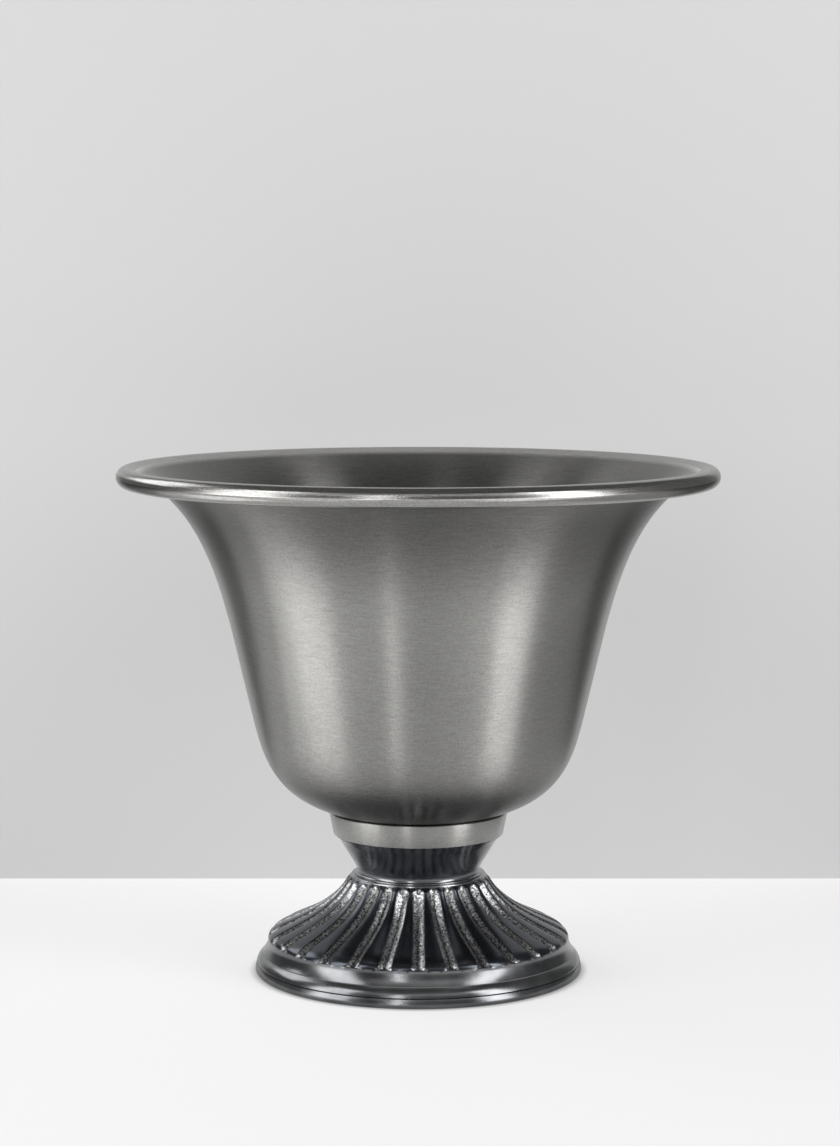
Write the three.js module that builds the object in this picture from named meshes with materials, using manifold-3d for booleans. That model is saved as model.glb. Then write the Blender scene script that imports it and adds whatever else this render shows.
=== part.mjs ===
// Footed metal urn: a spun bell-shaped bowl with a rolled rim, a turned collar and neck, and a cast fluted foot,
// stacked on one axis and held together by a bolt from the bowl's floor to the foot's hub.
// Millimetres, +Z up. The origin is the centre of the foot's underside, and Z is the axis of every piece.

import * as THREE from 'three';
import { mergeVertices } from 'three/addons/utils/BufferGeometryUtils.js';
import Module from 'manifold-3d';

const wasm = await Module();
wasm.setup();

const radians = THREE.MathUtils.degToRad;

// Sizes of the whole urn
const RIM_DIAMETER = 254;
const TOTAL_HEIGHT = 216.4;
const BASE_DIAMETER = 139.6;

// Sizes that mating pieces share
const SEAT_GAP = 0.3;
const BOLT_DIAMETER = 8;
const BOLT_CLEARANCE = 0.5;
const CUT_OVERRUN = 1;

// Facets round the axis
const BOWL_FACETS = 48;
const STEM_FACETS = 40;
const SMALL_FACETS = 20;

// Steps along each curve of a section
const UNDERSIDE_STEPS = 2;
const BELLY_STEPS = 6;
const FLARE_STEPS = 7;
const ROLL_INSIDE_STEPS = 6;
const ROLL_OUTSIDE_STEPS = 11;
const SMALL_CURVE_STEPS = 3;
const NECK_CONE_STEPS = 4;
const HOLLOW_STEPS = 7;

// Bowl: spun sheet, with a flat floor, a rounded belly, a leaning wall and a flare that ends in the rolled rim
const BOWL_WALL = 1.2;
const FLOOR_RADIUS = 22;
const UNDERSIDE_RADIUS = 33;
const UNDERSIDE_SLOPE = radians(13.5);
const WALL_RADIUS = 72;
const WALL_LEAN = radians(13.7);
const WALL_HEIGHT_SHARE = 0.334;
const BELLY_START_SHARE = 0.826;
const BELLY_END_SHARE = 0.465;
const FLARE_START_SHARE = 0.431;
const FLARE_END_SHARE = 0.762;
const ROLL_RADIUS = 4.1;
const LIP_SLOPE = radians(25);
const ROLL_TURN = radians(295);

// Collar: turned ring with a web that carries the bowl's floor
const COLLAR_HEIGHT = 9.8;
const COLLAR_BOTTOM_RADIUS = 36.2;
const COLLAR_TOP_RADIUS = 38.1;
const COLLAR_EDGE = 0.4;
const COLLAR_WEB = 3;
const BOWL_SEAT_HEIGHT = 7.7;

// Neck: turned waisted tube with a flange on top and a small flared lip at its foot
const NECK_HEIGHT = 17.5;
const NECK_LIP_RADIUS = 27.3;
const NECK_LIP_EDGE = 0.4;
const WAIST_RADIUS = 26.2;
const WAIST_HEIGHT = 1.7;
const FLANGE_BEVEL_RADIUS = 33.6;
const FLANGE_BEVEL_HEIGHT = 2.1;
const FLANGE_SPIGOT_RADIUS = 29.7;
const FLANGE_SPIGOT_HEIGHT = 3;
const FOOT_SPIGOT_RADIUS = 23.6;
const FOOT_SPIGOT_HEIGHT = 2;
const NECK_BORE_RADIUS = 20.5;
const NECK_MOUTH_RADIUS = 26;
const WAIST_PULL_SHARE = 0.15;
const BEVEL_PULL_SHARE = 0.65;

// Foot: hollow casting. From the floor up: base band, fine groove, quarter round, cove, fluted shoulder, ledge
const FOOT_HEIGHT = 42;
const BASE_BAND_HEIGHT = 3.9;
const BASE_EDGE = 2.4;
const GROOVE_DEPTH = 0.6;
const GROOVE_HEIGHT = 0.6;
const QUARTER_ROUND_WIDTH = 2.7;
const QUARTER_ROUND_HEIGHT = 3.6;
const ARRIS = 0.4;
const COVE_TOP_RADIUS = 64.3;
const COVE_HEIGHT = 5.8;
const SHOULDER_RISE = 5.9;
const CONE_PULL_RADIUS = 40.5;
const CONE_PULL_HEIGHT = 22.2;
const FLUTE_TOP_RADIUS = 30.3;
const FLUTE_TOP_DROP = 2.2;
const LEDGE_RADIUS = 28;
const LEDGE_EDGE = 0.7;
const FOOT_WALL = 4.4;
const BASE_RING_WIDTH = 5.2;
const HUB_WEB = 6;
const HUB_BOSS_RADIUS = 12;
const HUB_BOSS_HEIGHT = 4;
const FLUTE_COUNT = 29;
const FLUTE_TOP_WIDTH = 4.9;
const FLUTE_BOTTOM_WIDTH = 5.6;
const FLUTE_MOUTH_WIDTH = 7;
const FLUTE_DEPTH = 1.6;

// Fastening: bolt head, washers and nut
const HEX_ACROSS_FLATS = 13;
const HEAD_HEIGHT = 5.3;
const NUT_HEIGHT = 6.5;
const HEX_CHAMFER = 0.7;
const BOLT_TIP_LENGTH = 3;
const BOLT_TIP_CHAMFER = 0.8;
const STEEL_WASHER_RADIUS = 10;
const STEEL_WASHER_THICKNESS = 1.6;
const SEAL_WASHER_RADIUS = 11;
const SEAL_WASHER_THICKNESS = 1.8;
const LOCK_WASHER_RADIUS = 7.2;
const LOCK_WASHER_THICKNESS = 2;
const LOCK_WASHER_SLOT = radians(14);

// Heights and radii where the pieces meet
const NECK_BASE_Z = FOOT_HEIGHT;
const COLLAR_BASE_Z = NECK_BASE_Z + NECK_HEIGHT;
const BOWL_BASE_Z = COLLAR_BASE_Z + BOWL_SEAT_HEIGHT;
const BOLT_HOLE_RADIUS = BOLT_DIAMETER / 2 + BOLT_CLEARANCE;
const HUB_TOP_Z = FOOT_HEIGHT - FOOT_SPIGOT_HEIGHT - SEAT_GAP;
const BOSS_BOTTOM_Z = HUB_TOP_Z - HUB_WEB - HUB_BOSS_HEIGHT;

// Finishes
const pewter = { color: 0x8a8984, roughness: 0.36, metalness: 1 };
const gunmetal = { color: 0x4a4c4f, roughness: 0.26, metalness: 1 };
const steel = { color: 0xb9bbbd, roughness: 0.35, metalness: 1 };
const rubber = { color: 0x1b1b1b, roughness: 0.8, metalness: 0 };

const urn = new THREE.Group();

function addPiece(name, geometry, finish) {
  const mesh = new THREE.Mesh(geometry, new THREE.MeshStandardMaterial(finish));
  mesh.name = name;
  urn.add(mesh);
}

// A solid of revolution about Z from a closed outline of [radius, height] points that runs anticlockwise.
function revolve(outline, facets) {
  const points = outline.map(([radius, height]) => new THREE.Vector2(radius, height));
  points.push(points[0].clone());
  const geometry = new THREE.LatheGeometry(points, facets);
  geometry.rotateX(Math.PI / 2);
  return mergedPositions(geometry);
}

function mergedPositions(geometry) {
  geometry.deleteAttribute('normal');
  geometry.deleteAttribute('uv');
  return mergeVertices(geometry);
}

function curvePoints(curve, steps) {
  return curve.getPoints(steps).map((point) => [point.x, point.y]);
}

function bezier(start, startPull, endPull, end) {
  const corner = (point) => new THREE.Vector2(...point);
  return new THREE.CubicBezierCurve(corner(start), corner(startPull), corner(endPull), corner(end));
}

// Points of an arc about a centre, from one angle to another, both from the outward radius.
function arcPoints([centreR, centreZ], radius, from, to, steps) {
  return Array.from({ length: steps + 1 }, (_, i) => {
    const angle = THREE.MathUtils.lerp(from, to, i / steps);
    return [centreR + radius * Math.cos(angle), centreZ + radius * Math.sin(angle)];
  });
}

// The same open outline moved sideways, to the left of its direction of travel.
function offsetPoints(points, distance) {
  return points.map(([r, z], i) => {
    const before = points[Math.max(i - 1, 0)];
    const after = points[Math.min(i + 1, points.length - 1)];
    const run = Math.hypot(after[0] - before[0], after[1] - before[1]);
    return [r - (distance * (after[1] - before[1])) / run, z + (distance * (after[0] - before[0])) / run];
  });
}

// The bowl's outer face from the edge of its flat floor to the start of the rolled rim.
function bowlOuterFace() {
  const underRise = ((UNDERSIDE_RADIUS - FLOOR_RADIUS) / 2) * Math.tan(UNDERSIDE_SLOPE);
  const floorEdge = [FLOOR_RADIUS, BOWL_BASE_Z];
  const underEdge = [UNDERSIDE_RADIUS, BOWL_BASE_Z + underRise];
  const underside = new THREE.QuadraticBezierCurve(
    new THREE.Vector2(...floorEdge),
    new THREE.Vector2((FLOOR_RADIUS + UNDERSIDE_RADIUS) / 2, BOWL_BASE_Z),
    new THREE.Vector2(...underEdge),
  );

  const bowlHeight = TOTAL_HEIGHT - BOWL_BASE_Z;
  const wall = [WALL_RADIUS, BOWL_BASE_Z + WALL_HEIGHT_SHARE * bowlHeight];
  const bellyStartPull = BELLY_START_SHARE * (WALL_RADIUS - UNDERSIDE_RADIUS);
  const bellyEndPull = BELLY_END_SHARE * (wall[1] - underEdge[1]);
  const belly = bezier(
    underEdge,
    [underEdge[0] + bellyStartPull * Math.cos(UNDERSIDE_SLOPE), underEdge[1] + bellyStartPull * Math.sin(UNDERSIDE_SLOPE)],
    [wall[0] - bellyEndPull * Math.sin(WALL_LEAN), wall[1] - bellyEndPull * Math.cos(WALL_LEAN)],
    wall,
  );

  const lip = rollPoint(ROLL_RADIUS - BOWL_WALL, rollStart);
  const flareStartPull = FLARE_START_SHARE * (lip[1] - wall[1]);
  const flareEndPull = FLARE_END_SHARE * (lip[0] - wall[0]);
  const flare = bezier(
    wall,
    [wall[0] + flareStartPull * Math.sin(WALL_LEAN), wall[1] + flareStartPull * Math.cos(WALL_LEAN)],
    [lip[0] - flareEndPull * Math.cos(LIP_SLOPE), lip[1] - flareEndPull * Math.sin(LIP_SLOPE)],
    lip,
  );
  return [
    ...curvePoints(underside, UNDERSIDE_STEPS),
    ...curvePoints(belly, BELLY_STEPS).slice(1),
    ...curvePoints(flare, FLARE_STEPS).slice(1),
  ];
}

const rollCentre = [RIM_DIAMETER / 2 - ROLL_RADIUS, TOTAL_HEIGHT - ROLL_RADIUS];
const rollStart = Math.PI / 2 + LIP_SLOPE;
const rollEnd = rollStart - ROLL_TURN;

function rollPoint(radius, angle) {
  return [rollCentre[0] + radius * Math.cos(angle), rollCentre[1] + radius * Math.sin(angle)];
}

// The sheet turns over outwards at the rim, so its inner face becomes the outside of the roll.
function bowl() {
  const outer = bowlOuterFace();
  const inner = offsetPoints(outer, BOWL_WALL);
  const rollInside = arcPoints(rollCentre, ROLL_RADIUS - BOWL_WALL, rollStart, rollEnd, ROLL_INSIDE_STEPS);
  const rollOutside = arcPoints(rollCentre, ROLL_RADIUS, rollEnd, rollStart, ROLL_OUTSIDE_STEPS);
  return revolve(
    [
      [BOLT_HOLE_RADIUS, BOWL_BASE_Z],
      ...outer.slice(0, -1),
      ...rollInside,
      ...rollOutside,
      ...inner.slice(0, -1).reverse(),
      [BOLT_HOLE_RADIUS, BOWL_BASE_Z + BOWL_WALL],
    ],
    BOWL_FACETS,
  );
}

// The collar's dished top follows the bowl's underside with a small gap and touches it only under the flat floor.
function collar() {
  const topZ = COLLAR_BASE_Z + COLLAR_HEIGHT;
  const webBottomZ = BOWL_BASE_Z - COLLAR_WEB;
  const recessRadius = FLANGE_SPIGOT_RADIUS + SEAT_GAP;
  const dish = offsetPoints(bowlOuterFace(), -SEAT_GAP).filter(
    ([r, z]) => r > FLOOR_RADIUS && r < COLLAR_TOP_RADIUS - COLLAR_EDGE && z < topZ,
  );
  const seatRadius = FLOOR_RADIUS - SEAT_GAP;
  return revolve(
    [
      [BOLT_HOLE_RADIUS, webBottomZ],
      [recessRadius, webBottomZ],
      [recessRadius, COLLAR_BASE_Z],
      [COLLAR_BOTTOM_RADIUS, COLLAR_BASE_Z],
      [COLLAR_TOP_RADIUS, topZ - COLLAR_EDGE],
      [COLLAR_TOP_RADIUS - COLLAR_EDGE, topZ],
      ...dish.reverse(),
      [seatRadius, BOWL_BASE_Z - SEAT_GAP],
      [seatRadius, BOWL_BASE_Z],
      [BOLT_HOLE_RADIUS, BOWL_BASE_Z],
    ],
    STEM_FACETS,
  );
}

// Spigots at both ends of the neck centre it in the foot and in the collar.
function neck() {
  const topZ = COLLAR_BASE_Z;
  const waist = [WAIST_RADIUS, NECK_BASE_Z + WAIST_HEIGHT];
  const bevel = [FLANGE_BEVEL_RADIUS, topZ - FLANGE_BEVEL_HEIGHT];
  const lip = [NECK_LIP_RADIUS, NECK_BASE_Z + NECK_LIP_EDGE];
  const coneRise = bevel[1] - waist[1];
  const coneRun = bevel[0] - waist[0];
  const flare = new THREE.QuadraticBezierCurve(
    new THREE.Vector2(...lip),
    new THREE.Vector2(WAIST_RADIUS, lip[1]),
    new THREE.Vector2(...waist),
  );
  const cone = bezier(
    waist,
    [waist[0], waist[1] + WAIST_PULL_SHARE * coneRise],
    [bevel[0] - BEVEL_PULL_SHARE * coneRun, bevel[1] - BEVEL_PULL_SHARE * coneRise],
    bevel,
  );
  return revolve(
    [
      [NECK_BORE_RADIUS, NECK_BASE_Z - FOOT_SPIGOT_HEIGHT],
      [FOOT_SPIGOT_RADIUS, NECK_BASE_Z - FOOT_SPIGOT_HEIGHT],
      [FOOT_SPIGOT_RADIUS, NECK_BASE_Z],
      [NECK_LIP_RADIUS, NECK_BASE_Z],
      ...curvePoints(flare, SMALL_CURVE_STEPS),
      ...curvePoints(cone, NECK_CONE_STEPS).slice(1),
      [COLLAR_BOTTOM_RADIUS, topZ],
      [FLANGE_SPIGOT_RADIUS, topZ],
      [FLANGE_SPIGOT_RADIUS, topZ + FLANGE_SPIGOT_HEIGHT],
      [NECK_MOUTH_RADIUS, topZ + FLANGE_SPIGOT_HEIGHT],
      [NECK_MOUTH_RADIUS, bevel[1]],
      [NECK_BORE_RADIUS, waist[1]],
    ],
    STEM_FACETS,
  );
}

// The foot's land surface, from the top of the cove over the shoulder and up the cone to the tops of the flutes.
const coveTopZ = BASE_BAND_HEIGHT + GROOVE_HEIGHT + QUARTER_ROUND_HEIGHT + ARRIS + COVE_HEIGHT;
const fluteTopZ = FOOT_HEIGHT - FLUTE_TOP_DROP;
const landCurve = bezier(
  [COVE_TOP_RADIUS, coveTopZ],
  [COVE_TOP_RADIUS, coveTopZ + SHOULDER_RISE],
  [CONE_PULL_RADIUS, CONE_PULL_HEIGHT],
  [FLUTE_TOP_RADIUS, fluteTopZ],
);

// A ring of points round the foot, a few for each flute. Each column is [sideways place, depth below the land].
// The normal points out of the land, in [radius, height].
function fluteRing([radius, height], normal, columns) {
  const ring = [];
  for (let flute = 0; flute < FLUTE_COUNT; flute += 1) {
    const centre = (flute / FLUTE_COUNT) * 2 * Math.PI;
    for (const [sideways, depth] of columns) {
      const angle = centre + sideways / radius;
      const r = radius - depth * normal[0];
      ring.push([r * Math.sin(angle), -r * Math.cos(angle), height - depth * normal[1]]);
    }
  }
  return ring;
}

// A smooth ring has two points for each flute, set apart by a share of the distance from flute to flute.
const EVEN_SPREAD_SHARE = 0.5;
const LEDGE_SPREAD_SHARE = 0.75;

function plainRing(point, spreadShare = EVEN_SPREAD_SHARE) {
  const half = (spreadShare * point[0] * Math.PI) / FLUTE_COUNT;
  return fluteRing(point, [1, 0], [[-half, 0], [half, 0]]);
}

// Across one flute: the floor is a rounded valley, a little over half as deep at its quarter points.
const QUARTER_DEPTH_SHARE = 0.62;

function carvedRing(share, width, depth) {
  const point = landCurve.getPoint(share);
  const tangent = landCurve.getTangent(share);
  const half = width / 2;
  const quarterDepth = QUARTER_DEPTH_SHARE * depth;
  const columns = [[-half, 0], [-half / 2, quarterDepth], [0, depth], [half / 2, quarterDepth], [half, 0]];
  return fluteRing([point.x, point.y], [tangent.y, -tangent.x], columns);
}

// Rows of the flutes from bottom to top, as shares of the land curve, of the flute's width and of its depth.
// The first rows open out over the shoulder, and the last close in a round arch.
const FLUTE_ROW_SHARES = [
  [0.07, 1, 0.75],
  [0.16, 0.5, 1],
  [0.27, 0, 1],
  [0.41, 0, 1],
  [0.56, 0, 1],
  [0.71, 0, 1],
  [0.85, 0, 0.95],
];
const ARCH_ROW_SHARES = [
  [0.93, 0.94, 0.85],
  [0.97, 0.72, 0.55],
  [0.99, 0.36, 0.12],
];

function fluteRings() {
  const body = FLUTE_ROW_SHARES.map(([share, opening, depthShare]) => {
    const width = THREE.MathUtils.lerp(FLUTE_BOTTOM_WIDTH, FLUTE_TOP_WIDTH, share);
    return carvedRing(share, THREE.MathUtils.lerp(width, FLUTE_MOUTH_WIDTH, opening), FLUTE_DEPTH * depthShare);
  });
  const arch = ARCH_ROW_SHARES.map(([share, widthShare, depthShare]) =>
    carvedRing(share, FLUTE_TOP_WIDTH * widthShare, FLUTE_DEPTH * depthShare),
  );
  return [...body, ...arch];
}

// Triangles between two rings. Where a smooth ring meets a carved one, the carved points fan to the flute's edges.
function stitch(lower, upper, triangles) {
  const lowerCount = lower.points.length / FLUTE_COUNT;
  const upperCount = upper.points.length / FLUTE_COUNT;
  for (let flute = 0; flute < FLUTE_COUNT; flute += 1) {
    const next = (flute + 1) % FLUTE_COUNT;
    const a = (i) => lower.start + (i < lowerCount ? flute * lowerCount + i : next * lowerCount);
    const b = (i) => upper.start + (i < upperCount ? flute * upperCount + i : next * upperCount);
    let i = 0;
    let j = 0;
    while (i < lowerCount || j < upperCount) {
      const lowerStep = (i + 1) / lowerCount <= (j + 1) / upperCount && i < lowerCount;
      const landLeft = i === lowerCount - 1 && j === upperCount - 1;
      if (landLeft) {
        triangles.push(a(i), a(i + 1), b(j + 1), a(i), b(j + 1), b(j));
        i += 1;
        j += 1;
      } else if (i < lowerCount - 1 && (lowerStep || j === upperCount - 1)) {
        triangles.push(a(i), a(i + 1), b(j));
        i += 1;
      } else {
        triangles.push(a(i), b(j + 1), b(j));
        j += 1;
      }
    }
  }
}

// A closed skin over rings that run once round the section of the casting.
function skin(rings) {
  const placed = [];
  const points = [];
  for (const ring of rings) {
    placed.push({ start: points.length, points: ring });
    points.push(...ring);
  }
  const triangles = [];
  placed.forEach((ring, i) => stitch(ring, placed[(i + 1) % placed.length], triangles));
  const geometry = new THREE.BufferGeometry();
  geometry.setAttribute('position', new THREE.Float32BufferAttribute(points.flat(), 3));
  geometry.setIndex(triangles);
  return geometry;
}

function foot() {
  const baseRadius = BASE_DIAMETER / 2;
  const grooveTopZ = BASE_BAND_HEIGHT + GROOVE_HEIGHT;
  const arrisZ = grooveTopZ + QUARTER_ROUND_HEIGHT;
  const quarterTopRadius = baseRadius - GROOVE_DEPTH - QUARTER_ROUND_WIDTH;
  const baseEdge = arcPoints([baseRadius - BASE_EDGE, BASE_EDGE], BASE_EDGE, -Math.PI / 2, 0, SMALL_CURVE_STEPS);
  const quarterRound = new THREE.EllipseCurve(
    quarterTopRadius, grooveTopZ, QUARTER_ROUND_WIDTH, QUARTER_ROUND_HEIGHT, 0, Math.PI / 2,
  );
  const arrisTop = [quarterTopRadius, arrisZ + ARRIS];
  const cove = new THREE.QuadraticBezierCurve(
    new THREE.Vector2(...arrisTop),
    new THREE.Vector2(COVE_TOP_RADIUS, (arrisTop[1] + coveTopZ) / 2),
    new THREE.Vector2(COVE_TOP_RADIUS, coveTopZ),
  );
  const outside = [
    ...baseEdge,
    [baseRadius, BASE_BAND_HEIGHT],
    [baseRadius - GROOVE_DEPTH, BASE_BAND_HEIGHT],
    ...curvePoints(quarterRound, SMALL_CURVE_STEPS),
    ...curvePoints(cove, SMALL_CURVE_STEPS),
  ];

  const ledge = [
    [LEDGE_RADIUS + LEDGE_EDGE, FOOT_HEIGHT - LEDGE_EDGE],
    [LEDGE_RADIUS, FOOT_HEIGHT],
  ];
  const recessRadius = FOOT_SPIGOT_RADIUS + SEAT_GAP;
  const webBottomZ = HUB_TOP_Z - HUB_WEB;
  const hub = [
    [recessRadius, FOOT_HEIGHT],
    [recessRadius, HUB_TOP_Z],
    [BOLT_HOLE_RADIUS, HUB_TOP_Z],
    [BOLT_HOLE_RADIUS, BOSS_BOTTOM_Z],
    [HUB_BOSS_RADIUS, BOSS_BOTTOM_Z],
    [HUB_BOSS_RADIUS, webBottomZ],
  ];

  // The hollow runs under the land surface at the wall's thickness, from the hub's web down to the base ring.
  const innerRadius = baseRadius - BASE_EDGE - BASE_RING_WIDTH;
  const hollow = offsetPoints(curvePoints(landCurve, HOLLOW_STEPS), FOOT_WALL)
    .filter(([r, z]) => z < webBottomZ && r < innerRadius)
    .reverse();
  const inside = [[hollow[0][0], webBottomZ], ...hollow, [innerRadius, coveTopZ - FOOT_WALL], [innerRadius, 0]];

  return skin([
    ...outside.map((point) => plainRing(point)),
    ...fluteRings(),
    ...ledge.map((point) => plainRing(point, LEDGE_SPREAD_SHARE)),
    ...hub.map((point) => plainRing(point)),
    ...inside.map((point) => plainRing(point)),
  ]);
}

function ringWasher(bottomZ, thickness, outerRadius, holeRadius) {
  return revolve(
    [
      [holeRadius, bottomZ],
      [outerRadius, bottomZ],
      [outerRadius, bottomZ + thickness],
      [holeRadius, bottomZ + thickness],
    ],
    SMALL_FACETS,
  );
}

function toSolid(geometry) {
  const merged = mergedPositions(geometry);
  return new wasm.Manifold(
    new wasm.Mesh({
      numProp: 3,
      vertProperties: new Float32Array(merged.attributes.position.array),
      triVerts: new Uint32Array(merged.index.array),
    }),
  );
}

function toGeometry(solid) {
  const mesh = solid.getMesh();
  const geometry = new THREE.BufferGeometry();
  geometry.setAttribute('position', new THREE.Float32BufferAttribute(mesh.vertProperties, 3));
  geometry.setIndex(new THREE.Uint32BufferAttribute(mesh.triVerts, 1));
  return geometry;
}

// A hexagon with its outer corners turned to a chamfer at the given ends.
function hexagon(bottomZ, height, chamferBottom, chamferTop) {
  const cornerRadius = HEX_ACROSS_FLATS / Math.sqrt(3);
  const prism = new THREE.CylinderGeometry(cornerRadius, cornerRadius, height, 6);
  prism.rotateX(Math.PI / 2);
  prism.translate(0, 0, bottomZ + height / 2);
  const flatRadius = HEX_ACROSS_FLATS / 2;
  const outline = [
    [0, bottomZ],
    [chamferBottom ? flatRadius : cornerRadius + CUT_OVERRUN, bottomZ],
    [cornerRadius + CUT_OVERRUN, bottomZ + (chamferBottom ? HEX_CHAMFER : 0)],
    [cornerRadius + CUT_OVERRUN, bottomZ + height - (chamferTop ? HEX_CHAMFER : 0)],
    [chamferTop ? flatRadius : cornerRadius + CUT_OVERRUN, bottomZ + height],
    [0, bottomZ + height],
  ];
  return toSolid(prism).intersect(toSolid(revolve(outline, SMALL_FACETS)));
}

// The stack of washers, upwards from the bowl's floor and downwards from the hub's boss.
const sealZ = BOWL_BASE_Z + BOWL_WALL;
const headWasherZ = sealZ + SEAL_WASHER_THICKNESS;
const headZ = headWasherZ + STEEL_WASHER_THICKNESS;
const hubWasherZ = BOSS_BOTTOM_Z - STEEL_WASHER_THICKNESS;
const lockWasherZ = hubWasherZ - LOCK_WASHER_THICKNESS;
const nutZ = lockWasherZ - NUT_HEIGHT;

function tieBolt() {
  const radius = BOLT_DIAMETER / 2;
  const tipZ = nutZ - BOLT_TIP_LENGTH;
  const shank = revolve(
    [
      [0, tipZ],
      [radius - BOLT_TIP_CHAMFER, tipZ],
      [radius, tipZ + BOLT_TIP_CHAMFER],
      [radius, headZ + HEAD_HEIGHT / 2],
      [0, headZ + HEAD_HEIGHT / 2],
    ],
    SMALL_FACETS,
  );
  return toGeometry(hexagon(headZ, HEAD_HEIGHT, false, true).add(toSolid(shank)));
}

function nut() {
  const boreRadius = BOLT_DIAMETER / 2 + SEAT_GAP;
  const bore = new THREE.CylinderGeometry(boreRadius, boreRadius, NUT_HEIGHT + 2 * CUT_OVERRUN, SMALL_FACETS);
  bore.rotateX(Math.PI / 2);
  bore.translate(0, 0, nutZ + NUT_HEIGHT / 2);
  return toGeometry(hexagon(nutZ, NUT_HEIGHT, true, true).subtract(toSolid(bore)));
}

// The lock washer is a flat ring with a slot through it.
function lockWasher() {
  const holeRadius = BOLT_DIAMETER / 2 + SEAT_GAP;
  const shape = new THREE.Shape();
  const half = LOCK_WASHER_SLOT / 2;
  shape.absarc(0, 0, LOCK_WASHER_RADIUS, half, 2 * Math.PI - half, false);
  shape.absarc(0, 0, holeRadius, 2 * Math.PI - half, half, true);
  shape.closePath();
  const geometry = new THREE.ExtrudeGeometry(shape, {
    depth: LOCK_WASHER_THICKNESS,
    bevelEnabled: false,
    curveSegments: SMALL_FACETS / 2,
  });
  geometry.translate(0, 0, lockWasherZ);
  return mergedPositions(geometry);
}

addPiece('bowl', bowl(), pewter);
addPiece('collar', collar(), pewter);
addPiece('neck', neck(), gunmetal);
addPiece('foot', foot(), gunmetal);
addPiece('tie_bolt', tieBolt(), steel);
addPiece('head_washer', ringWasher(headWasherZ, STEEL_WASHER_THICKNESS, STEEL_WASHER_RADIUS, BOLT_HOLE_RADIUS), steel);
addPiece('seal_washer', ringWasher(sealZ, SEAL_WASHER_THICKNESS, SEAL_WASHER_RADIUS, BOLT_HOLE_RADIUS), rubber);
addPiece('hub_washer', ringWasher(hubWasherZ, STEEL_WASHER_THICKNESS, STEEL_WASHER_RADIUS, BOLT_HOLE_RADIUS), steel);
addPiece('lock_washer', lockWasher(), steel);
addPiece('nut', nut(), steel);

export default urn;
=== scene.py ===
# A footed metal urn on a white table, in front of a pale wall. Blender 4.5, metres, in the part's own frame:
# Z is the axis of every piece, the table's top is Z = 0, and the camera stands on the -Y side.

import math

import bpy
import numpy as np
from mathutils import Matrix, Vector, noise
from mathutils.geometry import interpolate_bezier


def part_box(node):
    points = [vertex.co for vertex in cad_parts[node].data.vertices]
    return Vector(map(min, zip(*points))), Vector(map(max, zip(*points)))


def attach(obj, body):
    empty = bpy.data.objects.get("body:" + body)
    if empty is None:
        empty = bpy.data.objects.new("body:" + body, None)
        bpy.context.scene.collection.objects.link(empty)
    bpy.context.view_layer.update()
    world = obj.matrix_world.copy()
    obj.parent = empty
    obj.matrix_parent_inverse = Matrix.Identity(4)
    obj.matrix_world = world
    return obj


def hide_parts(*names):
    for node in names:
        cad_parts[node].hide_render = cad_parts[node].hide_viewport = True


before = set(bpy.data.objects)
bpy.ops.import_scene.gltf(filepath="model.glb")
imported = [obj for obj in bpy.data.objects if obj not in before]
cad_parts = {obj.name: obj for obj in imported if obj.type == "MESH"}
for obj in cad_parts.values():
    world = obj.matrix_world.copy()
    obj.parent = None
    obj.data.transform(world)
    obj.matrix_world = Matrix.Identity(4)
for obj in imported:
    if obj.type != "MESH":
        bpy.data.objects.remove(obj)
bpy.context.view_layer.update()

# Camera
# It stands at the distance and height worked out from the urn's outline in the photograph and looks a little
# down. The picture's long side is upright.
CAMERA_DISTANCE = 1.2065
CAMERA_HEIGHT = 0.3005
CAMERA_SIDE = 0.0007
CAMERA_TILT = math.radians(6.142)
CAMERA_LENS_MM = 90.05
SENSOR_LONG_SIDE_MM = 36

bpy.ops.object.camera_add(
    location=(CAMERA_SIDE, -CAMERA_DISTANCE, CAMERA_HEIGHT),
    rotation=(math.pi / 2 - CAMERA_TILT, 0, 0),
)
camera = bpy.context.object
camera.data.sensor_width = SENSOR_LONG_SIDE_MM
camera.data.lens = CAMERA_LENS_MM
bpy.context.scene.camera = camera
bpy.context.scene.view_settings.view_transform = "Standard"

# Table and wall
# A matt white table top and a pale grey wall behind it. Both are staging, and clear from behind, so that the
# urn can be seen from every side. A painted shadow rings the foot. What the urn mirrors of the table has
# painted shade near the foot, far to the right and behind the wall, as the plated foot's dark tones ask for.
TABLE_HALF_SIZE = 2.5
WALL_DISTANCE = 0.1805
WALL_SIZE = (0.44, 0.5)
TABLE_WHITE = (0.45, 0.45, 0.45)
TABLE_GLOW = 0.58
TABLE_SHADE = (0.25, 0.25, 0.25)
MIRRORED_SHADE = 0.12
MIRRORED_SHADE_RIGHT = 0.4
MIRRORED_SHADE_NEAR = 0.6
NEAR_RADII = (0.078, 0.115)
CONTACT_SHADE = 0.75
CONTACT_RADII = (0.0675, 0.0737)
WALL_GREY = (0.33, 0.33, 0.33)
WALL_GLOW = 0.32
MATT = 0.9
MATT_SPECULAR = 0.1


def add_node(tree, kind, inputs=(), **settings):
    """A shader node with its settings, and its inputs set to values or joined to other nodes' outputs."""
    made = tree.nodes.new(kind)
    for name, value in settings.items():
        setattr(made, name, value)
    for name, value in dict(inputs).items():
        if isinstance(value, bpy.types.NodeSocket):
            tree.links.new(value, made.inputs[name])
        else:
            made.inputs[name].default_value = value
    return made


def worked_out(tree, operation, *values, clamp=False):
    """The result of a calculation with numbers."""
    inputs = dict(enumerate(values))
    return add_node(tree, "ShaderNodeMath", inputs, operation=operation, use_clamp=clamp).outputs["Value"]


def vector_of(tree, operation, *vectors, result="Vector"):
    """The result of a calculation with vectors. It is a vector too, or the number that result names."""
    inputs = dict(enumerate(vectors))
    return add_node(tree, "ShaderNodeVectorMath", inputs, operation=operation).outputs[result]


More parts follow.
